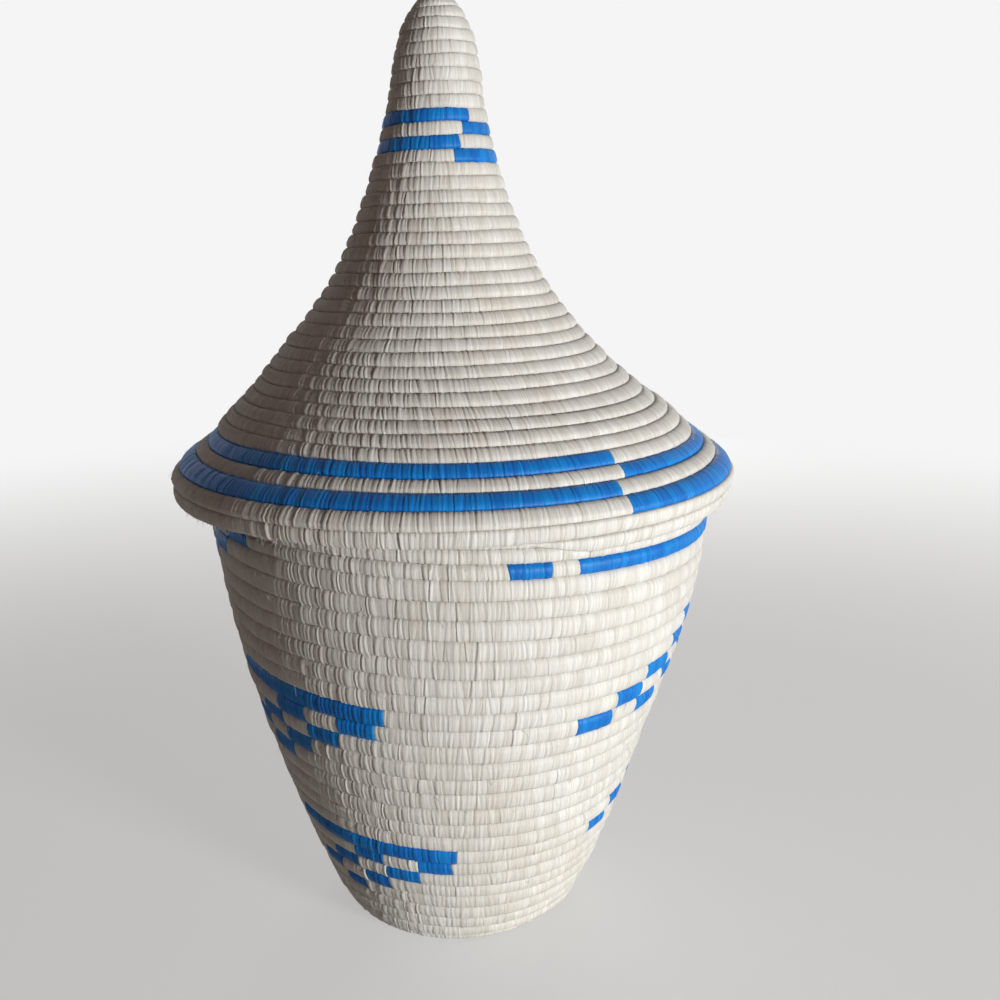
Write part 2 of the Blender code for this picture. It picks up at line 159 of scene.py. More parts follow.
class Coil:
    """A wrapped coil that spirals along a wall. A place on it is its turn, whole at the basket's front.

    Its two long edges are the same spiral one turn apart: the edge at a turn lies that many courses
    from the first one, so that each course rests on the one before. Near its end the coil is tapered.
    """

    def __init__(self, line, course_length, courses, first, last, end, thickness, stitch, lean, sway, tilt,
                 squareness, seed):
        self.lengths, self.points, self.normals = line
        self.course_length = course_length
        self.courses = courses
        self.first = first
        self.last = last
        self.end = end
        self.thickness = thickness
        self.sway = sway
        self.tilt = tilt
        self.squareness = squareness
        self.random = np.random.default_rng(seed)
        self.waves = self.random.uniform(0, 2 * math.pi, 2)
        self.sew(stitch, lean)

    def edges(self, turn):
        """Lengths along the wall's line of both edges, within the coil's courses and drawn in at its end."""
        low = self.course_length(np.clip(self.courses(turn), self.first, self.last))
        high = self.course_length(np.clip(self.courses(turn + 1), self.first, self.last))
        return low, low + (high - low) * ease(self.end - turn, 0, TAPER_TURNS)

    def alike(self, around, count):
        """Random numbers for wraps, mostly shared by those that lie one above the other."""
        shared = self.random.normal(0, 1, around)[np.arange(count) % around]
        return SHARED_PART * shared + OWN_PART * self.random.normal(0, 1, count)

    def sew(self, stitch, lean):
        """Spaces the wraps along the coil. Each is sewn beside one of the course below.

        So runs of two courses have as many wraps a turn, one above the other, and share most of what
        makes one wrap wider, taller, prouder or more slanted than the next. Each of these four is its
        even value and a draw times its spread, held within limits. In small rings the runs are shorter.
        """
        turns = np.arange(self.first - LEAD_IN_TURNS, min(self.last, self.end), TURN_STEP)
        low, high = self.edges(turns)
        turns = turns[high - low > LEAST_WIDTH]
        low, high = self.edges(turns)
        radius = np.interp((low + high) / 2, self.lengths, self.points[:, 0])
        start = turns[0]
        runs = []
        while start < turns[-1]:
            run = SHARED_COURSES if np.interp(start, turns, radius) > SMALL_RADIUS else SMALL_RING_COURSES
            around = round(2 * math.pi * np.interp(start + run / 2, turns, radius) / stitch)
            count = round(around * run)
            spread = (WIDTH_SPREAD * self.alike(around, count)).clip(-WIDTH_LIMIT, WIDTH_LIMIT)
            at = start + (np.arange(count) + spread) / around
            runs.append(np.stack([at, *(self.alike(around, count) for _ in range(3))]))
            start += count / around
        at, lean_off, plump_off, proud_off = np.hstack(runs)
        inside = (at > turns[0]) & (at < turns[-1])
        self.turns = np.concatenate([[turns[0]], at[inside], [turns[-1]]])
        self.lean = lean + LEAN_SPREAD * np.pad(lean_off[inside], 1).clip(-DRAW_LIMIT, DRAW_LIMIT)
        self.plump = (1.0 + PLUMP_SPREAD * np.pad(plump_off[inside], 1)).clip(*PLUMP_LIMITS)
        self.proud = PROUD_SPREAD * np.pad(proud_off[inside], 1).clip(-DRAW_LIMIT, DRAW_LIMIT)
        self.bite = self.random.uniform(0.0, 1.0, len(self.turns)) ** 2

    def middles(self):
        """The turn at the middle of each wrap."""
        return (self.turns[1:] + self.turns[:-1]) / 2

    def place(self, along, depth, azimuth):
        """Points at lengths along the line and depths in from it: r sin a, -r cos a and the height.

        The sway moves them to the right, and the tilt lowers them by its slope times their x.
        """
        point = [np.interp(along, self.lengths, self.points[:, k]) for k in (0, 1)]
        normal = [np.interp(along, self.lengths, self.normals[:, k]) for k in (0, 1)]
        radius = np.maximum(point[0] - normal[0] * depth, LEAST_RADIUS)
        height = np.maximum(point[1] - normal[1] * depth, 0.0)
        x = radius * np.sin(azimuth)
        y = -radius * np.cos(azimuth)
        return np.stack([x + self.sway(height), y, height - self.tilt(height) * x], axis=-1)


ROUND = 12
ROWS = np.array([0.0, 0.20, 0.5, 0.80])
HUMP = np.array([0.0, 0.84, 1.0, 0.84])
HUMP_LEVEL = 0.6
WRAP_RELIEF = 0.00024
EDGE_RELIEF = 0.5
WRAP_BITE = 0.0007
BITE_FROM = 0.3
COURSE_LAP = 1.05
TAPER_POWER = 0.6
SLOW_BOW = 0.00020
SLOW_BOWS_A_TURN = 1.37
QUICK_BOW = 0.00015
QUICK_BOWS_A_TURN = 3.71
SQUARENESS = 2.6
LOOSEST_AZIMUTH = math.radians(-32)
LOOSE_POWER = 8
LEAST_LOOSE = 0.5


def wrap_points(coil, first, last):
    """Rows of points round the coil over the wraps first to last, and their wrap numbers.

    Each wrap has four rows. Round a row the section is a superellipse, as deep as the coil is thick
    and a little longer than its course, and it swells at the middle of each wrap and is nipped in
    between two wraps. The wraps lean, some of them bite into the course before, and the coil bows in
    and out in two waves. The wraps swell, bite and stand proud most at the front left, and half as much
    at the other side: the least share, and what is left of one times the eighth power of the mean of
    one and the cosine of the angle from there.
    """
    number = np.append(np.repeat(np.arange(first, last), len(ROWS)), last)
    part = np.append(np.tile(ROWS, last - first), 0.0)
    hump = np.append(np.tile(HUMP, last - first), 0.0)
    after = np.minimum(number + 1, len(coil.turns) - 1)
    width = coil.turns[after] - coil.turns[number]
    turn = coil.turns[number] + width * part
    lean = (coil.lean[number] * (1 - part) + coil.lean[after] * part) * np.median(width[width > 0])
    low, high = coil.edges(turn)
    whole = coil.course_length(coil.courses(turn) + 1) - coil.course_length(coil.courses(turn))
    full = np.clip((high - low) / whole, 0, 1) ** TAPER_POWER
    near = (0.5 + 0.5 * np.cos(2 * math.pi * turn + LOOSEST_AZIMUTH)) ** LOOSE_POWER
    loose = LEAST_LOOSE + (1 - LEAST_LOOSE) * near
    relief = WRAP_RELIEF * coil.plump[number] * (hump - HUMP_LEVEL) * full * loose
    bow = SLOW_BOW * np.sin(2 * math.pi * SLOW_BOWS_A_TURN * turn + coil.waves[0])
    bow = bow + QUICK_BOW * np.sin(2 * math.pi * QUICK_BOWS_A_TURN * turn + coil.waves[1])
    bow = bow + coil.proud[number] * loose
    angle = 2 * math.pi * (np.arange(ROUND) + 0.5) / ROUND
    power = 2 / coil.squareness(turn)[:, None]
    across = -np.sign(np.cos(angle)) * np.abs(np.cos(angle)) ** power
    inward = -np.sign(np.sin(angle)) * np.abs(np.sin(angle)) ** power
    half_height = (high - low) / 2 * COURSE_LAP + relief * EDGE_RELIEF
    along = (low + high)[:, None] / 2 + across * half_height[:, None]
    bitten = WRAP_BITE * coil.bite[number] * hump * full * loose
    along = along - bitten[:, None] * np.clip(-across - BITE_FROM, 0, 1)
    depth = coil.thickness / 2 + inward * (coil.thickness / 2 * full + relief)[:, None] - bow[:, None]
    azimuth = -2 * math.pi * (turn[:, None] + lean[:, None] * across)
    return coil.place(along, depth, azimuth), number + part


def tube_faces(rows, around):
    """Four-sided faces between neighbouring rows of points that run round a tube."""
    row, column = np.meshgrid(np.arange(rows - 1), np.arange(around), indexing="ij")
    beside = (column + 1) % around
    corners = [row * around + column, row * around + beside, (row + 1) * around + beside,
               (row + 1) * around + column]
    return np.stack(corners, axis=-1).reshape(-1, 4)


def volume_of(points, quads):
    """Signed volume inside closed four-sided faces, as the sum of tetrahedra to the origin."""
    a, b, c, d = (points[quads[:, k]] for k in range(4))
    return (np.einsum("ij,ij->i", a, np.cross(b, c)) + np.einsum("ij,ij->i", a, np.cross(c, d))).sum() / 6


def make_mesh(name, points, quads, caps, quad_uv, cap_uv, material):
    """A smooth mesh from arrays of points, four-sided faces and end caps, with a UV map, facing out."""
    if volume_of(points, quads) < 0:
        quads = quads[:, ::-1]
        quad_uv = quad_uv[:, ::-1]
        caps = [cap[::-1] for cap in caps]
        cap_uv = [uv[::-1] for uv in cap_uv]
    mesh = bpy.data.meshes.new(name)
    mesh.from_pydata(points.tolist(), [], quads.tolist() + [list(cap) for cap in caps])
    layer = mesh.uv_layers.new(name="wraps")
    layer.data.foreach_set("uv", np.concatenate([quad_uv.reshape(-1, 2), *cap_uv]).ravel())
    mesh.shade_smooth()
    mesh.materials.append(material)
    piece = bpy.data.objects.new(name, mesh)
    bpy.context.scene.collection.objects.link(piece)
    return piece


def wrapped_piece(name, coil, wraps, material):
    """One object of the numbered wraps: each unbroken run of them is a tube with closed ends."""
    breaks = np.flatnonzero(np.diff(wraps) > 1)
    starts = wraps[np.concatenate([[0], breaks + 1])]
    ends = wraps[np.concatenate([breaks, [len(wraps) - 1]])] + 1
    points = []
    quads = []
    quad_uv = []
    caps = []
    cap_uv = []
    total = 0
    for start, end in zip(starts, ends):
        grid, number = wrap_points(coil, start, end)
        rows = len(grid)
        faces = tube_faces(rows, ROUND)
        column = faces % ROUND
        seam = column.max(axis=1) - column.min(axis=1) > 1
        round_part = np.where(seam[:, None] & (column == 0), 1.0, column / ROUND)
        quad_uv.append(np.stack([number[faces // ROUND], round_part], axis=-1))
        quads.append(faces + total)
        ring = np.arange(ROUND)
        caps.append(ring[::-1] + total)
        caps.append(ring + total + (rows - 1) * ROUND)
        cap_uv.append(np.column_stack([np.full(ROUND, number[0]), ring[::-1] / ROUND]))
        cap_uv.append(np.column_stack([np.full(ROUND, number[-1]), ring / ROUND]))
        points.append(grid.reshape(-1, 3))
        total += rows * ROUND
    return make_mesh(name, np.concatenate(points), np.concatenate(quads), caps, np.concatenate(quad_uv),
                     cap_uv, material)


BASE_COURSES = 8
BASE_BUTTON_RADIUS = 0.0065
WALL_COURSES = 30
FINE_COURSES = 5
BELOW_FINE_COURSES = 0.871
WALL_FIRST_TO_LAST = 0.86
UNEVEN_COURSES = [(0, 0.0), (5, 0.0006), (10.5, -0.0012), (14.5, 0.0007), (18, 0.0013), (25, 0.0)]


def grown(courses, number, first_to_last):
    """How far along a run of courses a course begins, from 0 to 1, where the coil thickens evenly.

    The courses' sizes grow from first_to_last to 1, so their sum over the first k of n is
    f k + (1 - f) k (k - 1) / (2 (n - 1)).
    """
    def size(k):
        return first_to_last * k + (1 - first_to_last) * k * (k - 1) / (2 * (number - 1))
    return size(courses) / size(number)


def body_course_length(courses):
    """Length along the body's line: even courses on the base, growing ones up the wall, finer at the rim."""
    wall = body_line[0][-1] - FOOT_RADIUS
    first_fine = WALL_COURSES - FINE_COURSES
    part = BELOW_FINE_COURSES * grown(courses, first_fine, WALL_FIRST_TO_LAST)
    growing = FOOT_RADIUS + wall * part + np.interp(courses, *zip(*UNEVEN_COURSES))
    fine_part = (courses - first_fine) / FINE_COURSES
    fine = FOOT_RADIUS + wall * (BELOW_FINE_COURSES + (1 - BELOW_FINE_COURSES) * fine_part)
    on_base = FOOT_RADIUS + courses * FOOT_RADIUS / BASE_COURSES
    return np.where(courses < 0, on_base, np.where(courses < first_fine, growing, fine))


BODY_END_TURN = 0.40
RING_STEP_FROM = 0.80
LEVELLED_TURNS = (27.5, 29.5)
BODY_PHASE = 1.3


def body_courses(turn):
    """How many courses the edge at a turn lies from the first: the turn itself, eased into a level rim.

    The levelled rings each have a short step at the coil's end, as their last fifth climbs one course.
    """
    part = (turn - BODY_END_TURN) % 1
    ring = (-BODY_END_TURN) % 1 - part + ease(part, RING_STEP_FROM, 1.0)
    levelled = ease(turn, *LEVELLED_TURNS)
    return turn + levelled * ring + (1 - levelled) * wander(turn, BODY_PHASE)


FOOT_SWAY = 0.0008
WALL_SWAY = 0.0033
WALL_SWAYS_AT = (0.095, 0.195)
SWAY_ENDS_AT = (0.224, 0.242)
WALL_TILT = 0.020
TILT_STARTS_AT = (0.002, 0.030)
TILT_ENDS_AT = (0.222, 0.240)


def body_sway(height):
    """The wall isn't quite upright: it leans to the right above the middle, and runs true at the rim."""
    return (WALL_SWAY * ease(height, *WALL_SWAYS_AT) - FOOT_SWAY) * (1 - ease(height, *SWAY_ENDS_AT))


def body_tilt(height):
    """The courses slope down to the right with that lean, but the base and the rim are level."""
    return WALL_TILT * ease(height, *TILT_STARTS_AT) * (1 - ease(height, *TILT_ENDS_AT))


def even_squareness(turn):
    """The exponent of the section's superellipse: nearly round, with a slightly flattened face."""
    return np.full_like(turn, SQUARENESS)


body_line = smooth_line(BODY_LINE, outer_side=-1)
WALL_THICKNESS = 0.0072
BODY_STITCH = 0.0024
body_coil = Coil(
    line=body_line,
    course_length=body_course_length,
    courses=body_courses,
    first=-BASE_COURSES * (1 - BASE_BUTTON_RADIUS / FOOT_RADIUS),
    last=WALL_COURSES,
    end=WALL_COURSES + 1,
    thickness=WALL_THICKNESS,
    stitch=BODY_STITCH,
    lean=0.05,
    sway=body_sway,
    tilt=body_tilt,
    squareness=even_squareness,
    seed=3,
)

# Sisal, undyed
# Long leaf fibres, scraped, washed and dried, then wrapped wet round the grass so that they shrink tight.
# To the eye: pale cream, a little uneven from wrap to wrap, fine streaks along each wrap, and a faint sheen.
# A single fibre, about 0.2 mm wide, is too fine to show, so the streaks are drawn twice as wide.
STREAK_WIDTH_MM = 0.45
STREAK_LENGTH_MM = 12.0
WRAP_WIDTH_MM = 2.3
COIL_ROUND_MM = 26.4
STAIN_MM = 62.5
CREST = 0.25


def linear(hex_colour):
    """An sRGB hex colour as linear red, green, blue and alpha."""
    parts = [int(hex_colour[k:k + 2], 16) / 255 for k in (1, 3, 5)]
    return (*(p / 12.92 if p <= 0.04045 else ((p + 0.055) / 1.055) ** 2.4 for p in parts), 1.0)


def add_node(tree, kind, values=None, links=None, **settings):
    """Adds a node with its settings, the values of its inputs, and links from other nodes' outputs."""
    node = tree.nodes.new(kind)
    for name, value in settings.items():
        setattr(node, name, value)
    for key, value in (values or {}).items():
        node.inputs[key].default_value = value
    for key, output in (links or {}).items():
        tree.links.new(output, node.inputs[key])
    return node


def sisal(name, pale, deep, stain, groove_shade, roughness, sheen):
    """Wrapped sisal: a tone for each wrap, streaks of fibre along it, slow stains, and painted shade in the
    grooves.

    Its UV map runs along the coil, one unit a wrap, and once round it, with the outer crest at a quarter.
    """
    material = bpy.data.materials.new(name)
    material.use_nodes = True
    tree = material.node_tree
    surface = tree.nodes["Principled BSDF"]
    surface.inputs["Roughness"].default_value = roughness
    surface.inputs["IOR"].default_value = 1.45
    surface.inputs["Specular IOR Level"].default_value = 0.30
    surface.inputs["Sheen Weight"].default_value = sheen
    surface.inputs["Sheen Roughness"].default_value = 0.4
    place = add_node(tree, "ShaderNodeUVMap", uv_map="wraps")
    parts = add_node(tree, "ShaderNodeSeparateXYZ", links={0: place.outputs["UV"]})
    number = add_node(tree, "ShaderNodeMath", links={0: parts.outputs["X"]}, operation="FLOOR")
    tone = add_node(tree, "ShaderNodeTexWhiteNoise", links={"W": number.outputs[0]}, noise_dimensions="1D")
    streaks_a_unit = (WRAP_WIDTH_MM / STREAK_WIDTH_MM, COIL_ROUND_MM / STREAK_LENGTH_MM, 1.0)
    stretched = add_node(tree, "ShaderNodeVectorMath", {1: streaks_a_unit}, {0: place.outputs["UV"]},
                         operation="MULTIPLY")
    streaks = add_node(tree, "ShaderNodeTexNoise", {"Scale": 1.0, "Detail": 2.0, "Roughness": 0.6},
                       {"Vector": stretched.outputs[0]}, noise_dimensions="2D")
    own = add_node(tree, "ShaderNodeMix", {"A": linear(pale), "B": linear(deep)},
                   {"Factor": tone.outputs["Value"]}, data_type="RGBA")
    object_place = add_node(tree, "ShaderNodeTexCoord")
    patches = add_node(tree, "ShaderNodeTexNoise",
                       {"Scale": 1000 / STAIN_MM, "Detail": 3.0, "Roughness": 0.55},
                       {"Vector": object_place.outputs["Object"]})
    patch = add_node(tree, "ShaderNodeMapRange",
                     {"From Min": 0.45, "From Max": 0.80, "To Min": 0.0, "To Max": 0.45},
                     {"Value": patches.outputs["Fac"]})
    stained = add_node(tree, "ShaderNodeMix", {"B": linear(stain)},
                       {"Factor": patch.outputs[0], "A": own.outputs["Result"]}, data_type="RGBA")
    fibre = add_node(tree, "ShaderNodeMapRange",
                     {"From Min": 0.30, "From Max": 0.70, "To Min": 0.84, "To Max": 1.07},
                     {"Value": streaks.outputs["Fac"]})
    streaked = add_node(tree, "ShaderNodeVectorMath", None,
                        {0: stained.outputs["Result"], "Scale": fibre.outputs[0]}, operation="SCALE")
    # Painted shade: away from the outer crest, toward the grooves between courses and round the coil's
    # hidden inner side, the colour is mixed up to 0.55 with the groove colour.
    past_crest = add_node(tree, "ShaderNodeMath", {1: CREST}, {0: parts.outputs["Y"]}, operation="SUBTRACT")
    from_crest = add_node(tree, "ShaderNodeMath", None, {0: past_crest.outputs[0]}, operation="ABSOLUTE")
    groove_shade_share = add_node(tree, "ShaderNodeMapRange",
                         {"From Min": 0.15, "From Max": 0.24, "To Min": 0.0, "To Max": 0.55},
                         {"Value": from_crest.outputs[0]})
    final = add_node(tree, "ShaderNodeMix", {"B": linear(groove_shade)},
                     {"Factor": groove_shade_share.outputs[0], "A": streaked.outputs[0]}, data_type="RGBA")
    tree.links.new(final.outputs["Result"], surface.inputs["Base Color"])
    relief = add_node(tree, "ShaderNodeBump", {"Strength": 0.7, "Distance": 0.0002},
                      {"Height": streaks.outputs["Fac"]})
    tree.links.new(relief.outputs[0], surface.inputs["Normal"])
    return material


# Its groove colour, a dark brown, is painted shade between the courses; pale, deep and stain are the fibre's
# own.
natural_sisal = sisal("natural sisal fibre", pale="#E9E8E2", deep="#DAD7CE", stain="#CFC5B2",
                      groove_shade="#80735F", roughness=0.6, sheen=0.12)

# Sisal, dyed blue
# The same fibre, boiled in a strong blue dye before it is wrapped, which takes unevenly from bunch to bunch.
# To the eye: deep cobalt, a little uneven from wrap to wrap, slightly glossier. Its groove colour, nearly
# navy, is painted shade in the grooves between courses.
blue_sisal = sisal("blue dyed sisal fibre", pale="#128ADC", deep="#0A6CC4", stain="#0858A8",
                   groove_shade="#041C44", roughness=0.45, sheen=0.0)

# The blue motifs of the wall
# Where the pattern asks for blue, the maker changes the fibre for a counted number of wraps. A band has
# blocks of colour hanging from it in two stairs that step down to the left, and the motifs climb the wall.
# Each has its top course, right end and width of a block in degrees, and the blocks of its band and stairs.
BAND_LEAD = 0.0044
LEFT_STAIR_FROM = 2
MOTIFS = {
    "motif_low_front_blue": (9, -0.6, 11.1, 5.6, 4, 3),
    "motif_low_right_blue": (13, 116.0, 11.1, 2.6, 4, 4),
    "motif_low_back_blue": (15, 232.0, 11.1, 5.6, 4, 4),
    "motif_middle_left_blue": (18, -18.0, 10.3, 4.9, 4, 3),
    "motif_middle_right_blue": (21, 93.2, 10.3, 2.6, 4, 4),
    "motif_middle_back_blue": (24, 208.0, 10.3, 4.9, 4, 4),
    "motif_rim_left_blue": (27, -49.5, 10.3, 0.0, 4, 0),
}
# The band and the short dash under the rim, from and to in degrees to the right of the front.
RIM_PATTERN_COURSE = 26
RIM_BAND = (22.8, 196.0)
RIM_DASH = (8.8, 16.8)


def motif_turns(top, right_end, block, band_blocks, right_stair, left_stair):
    """The stretches of coil that a motif wraps in blue, as (from, to) in turns.

    The course number less one is the turn at the front, and 360 degrees to the right is one turn less.
    """
    radius = np.interp(body_course_length(top), body_line[0], body_line[1][:, 0])
    lead = math.degrees(BAND_LEAD / radius) if band_blocks else 0.0
    stretches = []
    if band_blocks:
        stretches.append((top - 1, right_end - band_blocks * block, right_end))
    for shift, depth in ((0, right_stair), (LEFT_STAIR_FROM, left_stair)):
        for step in range(1, depth + 1):
            high = right_end - lead - (step - 1 + shift) * block
            stretches.append((top - 1 - step, high - block, high))
    return [(course - high / 360, course - low / 360) for course, low, high in stretches]


blue_turns = {name: motif_turns(*sizes) for name, sizes in MOTIFS.items()}
for name, (low, high) in (("rim_band_blue", RIM_BAND), ("rim_dash_blue", RIM_DASH)):
    blue_turns[name] = [(RIM_PATTERN_COURSE - 1 - high / 360, RIM_PATTERN_COURSE - 1 - low / 360)]

body_middles = body_coil.middles()
body_is_blue = np.zeros(len(body_middles), bool)
for name, stretches in blue_turns.items():
    chosen = np.zeros(len(body_middles), bool)
    for low, high in stretches:
        chosen |= (body_middles > low) & (body_middles < high)
    chosen &= ~body_is_blue
    body_is_blue |= chosen
    motif = wrapped_piece(f"{name}_wraps", body_coil, np.flatnonzero(chosen), blue_sisal)
    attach(motif, "basket")
    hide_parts(name)

# The natural courses of the basket
# The rest of the same coil in undyed fibre: the flat base, the heel where the wall turns up, the wall in
# four stretches, the neck under the lid's brim, and the last course with its tapered end, the rim.
# Each has the node that it stands for, its first course and the course after its last.
NATURAL_STRETCHES = {
    "base_coil_wraps": ("base_coil", -9, 0),
    "heel_wraps": ("heel_courses", 0, 3),
    "wall_wraps_low": ("wall_courses", 3, 10),
    "wall_wraps_middle": ("wall_courses", 10, 16),
    "wall_wraps_upper": ("wall_courses", 16, 21),
    "wall_wraps_top": ("wall_courses", 21, 26),
    "neck_wraps": ("neck_courses", 26, 29),
    "rim_wraps": ("rim_course", 29, 32),
}
body_course = np.floor(body_middles + 0.5)
for name, (node, low, high) in NATURAL_STRETCHES.items():
    chosen = (body_course >= low) & (body_course < high) & ~body_is_blue
    stretch = wrapped_piece(name, body_coil, np.flatnonzero(chosen), natural_sisal)
    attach(stretch, "basket")
    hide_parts(node)

# The start knots
# Each coil starts as a small knot of fibre, wrapped tightly in and out through its middle. One lies in
# the middle of the base, and one is the tip of the lid. Their wraps run out from the middle like spokes.
KNOT_POINTS_A_WRAP = 4
KNOT_RELIEF = 0.0004
KNOT_SQUARENESS = 3
KNOT_OVERLAP = 0.0003
KNOT_STEPS = 13
KNOT_UV_FROM = 0.1
KNOT_UV_SPAN = 0.3


def wrapped_knot(name, line, wraps, twist, material):
    """A closed knot: a profile line turned about the axis, with a hump for each wrap round it.

    The line runs from pole to pole as (radius, height), and s is the way along it from 0 to 1. Its
    radius is r + relief (|cos(n a / 2)| - hump level) sin(pi s), and a point is turned by twist times s.
    """
    around = wraps * KNOT_POINTS_A_WRAP
    reach = np.linspace(0, 1, len(line))
    azimuth = 2 * math.pi * np.arange(around) / around
    bearing = azimuth[None, :] + reach[:, None] * twist
    hump = np.abs(np.cos(wraps * azimuth / 2))[None, :] - HUMP_LEVEL
    radius = line[:, :1] + KNOT_RELIEF * hump * np.sin(math.pi * reach)[:, None]
    inner = radius[1:-1]
    ring = np.stack([inner * np.sin(bearing[1:-1]), -inner * np.cos(bearing[1:-1]),
                     np.broadcast_to(line[1:-1, 1:], inner.shape)], axis=-1)
    rows = len(ring)
    quads = tube_faces(rows, around)
    row = quads // around
    column = quads % around
    seam = column.max(axis=1) - column.min(axis=1) > 1
    column = np.where(seam[:, None] & (column == 0), around, column)
    quad_uv = np.stack([column / KNOT_POINTS_A_WRAP, KNOT_UV_FROM + KNOT_UV_SPAN * row / rows], axis=-1)
    first_ring = np.arange(around)
    caps = [first_ring[::-1], first_ring + (rows - 1) * around]
    cap_uv = [np.column_stack([first_ring[::-1] / KNOT_POINTS_A_WRAP, np.full(around, KNOT_UV_FROM)]),
              np.column_stack([first_ring / KNOT_POINTS_A_WRAP,
                               np.full(around, KNOT_UV_FROM + KNOT_UV_SPAN)])]
    return make_mesh(name, ring.reshape(-1, 3), quads, caps, quad_uv, cap_uv, material)


def knot_line(radius, low, high):
    """The profile of a flat round knot, half of a superellipse, from its lower pole to its upper."""
    angle = np.linspace(-math.pi / 2, math.pi / 2, KNOT_STEPS)
    out = radius * np.abs(np.cos(angle)) ** (2 / KNOT_SQUARENESS)
    up = np.sign(np.sin(angle)) * np.abs(np.sin(angle)) ** (2 / KNOT_SQUARENESS)
    return np.column_stack([out, (low + high) / 2 + up * (high - low) / 2])


_, base_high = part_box("base_start_button")
base_line = knot_line(BASE_BUTTON_RADIUS + KNOT_OVERLAP, 0.0, base_high.z)
base_knot = wrapped_knot("base_start_knot_wraps", base_line, wraps=16, twist=0.5, material=natural_sisal)
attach(base_knot, "basket")
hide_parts("base_start_button")

# The lid's coil
# A second coil, finer than the body's. It starts at the tip of the spire, winds down over the neck and
# the cone, spreads over the shoulder to the brim, and its last course is turned under the brim's edge.
LID_DEPTHS = [
    (0.0, 0.0), (0.0110, 0.0065), (0.0188, 0.0235), (0.0234, 0.0504), (0.0297, 0.0754),
    (0.0407, 0.1059), (0.0575, 0.1374), (0.0890, 0.1739), (0.1098, 0.1925), (0.1195, 0.2027),
    (0.1318, 0.2120), (0.1393, 0.2195), (0.1392, 0.2250), (0.1380, 0.2310), (0.1350, 0.2375),
]
KNOT_LENGTH = 0.009
LID_COURSES = 40
PAST_BRIM_COURSES = 2
LID_FIRST_TO_LAST = 0.75
LID_COURSES_LENGTH = 0.2661
BRIM_WIDENING = 0.0045
BRIM_WIDENS_AT = (37.2, 39.2)
BRIM_HANG = 0.12
BRIM_HANGS_AT = (37.0, 38.5)
LID_PHASE = 4.1
LID_SWAY = 0.0003
SPIRE_SWAY = 0.0070
SPIRE_SWAYS_AT = (0.250, 0.304)
TIP_SWAY_BACK = 0.0016
TIP_SWAYS_AT = (0.370, 0.460)
SPIRE_SQUARENESS = 3.6
ROUNDED_AT = (11, 19)
LID_THICKNESS = 0.0056
LID_STITCH = 0.0022
LID_END_TURN = 39.978

lid_line = smooth_line([(r, cad_high.z - depth) for r, depth in LID_DEPTHS], outer_side=1)


def lid_course_length(courses):
    """Length along the lid's line from the tip: past the knot, then growing courses, widest at the brim."""
    wide = BRIM_WIDENING * ease(courses, *BRIM_WIDENS_AT)
    return KNOT_LENGTH + LID_COURSES_LENGTH * grown(courses, LID_COURSES, LID_FIRST_TO_LAST) + wide


def lid_courses(turn):
    """How many courses the edge at a turn lies from the first: the turn itself. The brim hangs left."""
    laid = turn + wander(turn, LID_PHASE)
    return laid + BRIM_HANG * np.sin(2 * math.pi * turn) * ease(turn, *BRIM_HANGS_AT)


def lid_sway(height):
    """The spire leans to the left, mostly just above the shoulder, and its tip bends back a little."""
    leaning = -LID_SWAY - SPIRE_SWAY * ease(height, *SPIRE_SWAYS_AT)
    return leaning + TIP_SWAY_BACK * ease(height, *TIP_SWAYS_AT)


def lid_squareness(turn):
    """The spire's courses are drawn tight and flat, and below it they get rounder, as on the body."""
    return SPIRE_SQUARENESS + (SQUARENESS - SPIRE_SQUARENESS) * ease(turn, *ROUNDED_AT)


def unmoved(height):
    """No sway, or no tilt, at any height."""
    return np.zeros_like(height)


lid_coil = Coil(
    line=lid_line,
    course_length=lid_course_length,
    courses=lid_courses,
    first=0.0,
    last=LID_COURSES + PAST_BRIM_COURSES,
    end=LID_END_TURN,
    thickness=LID_THICKNESS,
    stitch=LID_STITCH,
    lean=0.0,
    sway=lid_sway,
    tilt=unmoved,
    squareness=lid_squareness,
    seed=8,
)

# The blue rings of the lid
# Two on the spire and two on the shoulder, with one natural course between. Each is one turn of the coil,
# or a few wraps more, so its two ends meet a course apart, in a step at the front right.
# Each has its course, and the place of that step and the lap of its ends in degrees.
RINGS = {
    "spire_upper_ring_blue": (9, 39.0, 12.0),
    "spire_lower_ring_blue": (11, 25.0, 10.0),
    "shoulder_upper_ring_blue": (35, 34.5, 0.0),
    "shoulder_lower_ring_blue": (37, 31.0, 0.0),
}
lid_middles = lid_coil.middles()
lid_is_blue = np.zeros(len(lid_middles), bool)
for name, (course, step_azimuth, lap) in RINGS.items():
    start = course - step_azimuth / 360
    chosen = (lid_middles > start) & (lid_middles < start + 1 + lap / 360)
    lid_is_blue |= chosen
    ring = wrapped_piece(f"{name}_wraps", lid_coil, np.flatnonzero(chosen), blue_sisal)
    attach(ring, "lid")
    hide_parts(name)

# The natural courses of the lid
# The rest of the lid's coil in undyed fibre, in stretches from the spire down to the turned-under edge.
# Each has the node that it stands for, its first course and the course after its last.
LID_STRETCHES = {
    "spire_wraps": ("lid_spire_courses", -1, 15),
    "cone_wraps_upper": ("lid_cone_courses", 15, 23),
    "cone_wraps_middle": ("lid_cone_courses", 23, 29),
    "cone_wraps_lower": ("lid_cone_courses", 29, 34),
    "shoulder_wraps": ("lid_shoulder_courses", 34, 38),
    "brim_wraps": ("lid_brim_course", 38, 39),
    "turned_under_wraps": ("lid_turned_under_course", 39, 42),
}
lid_course = np.floor(lid_middles + 0.5)
for name, (node, low, high) in LID_STRETCHES.items():
    chosen = (lid_course >= low) & (lid_course < high) & ~lid_is_blue
    stretch = wrapped_piece(name, lid_coil, np.flatnonzero(chosen), natural_sisal)
    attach(stretch, "lid")
    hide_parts(node)

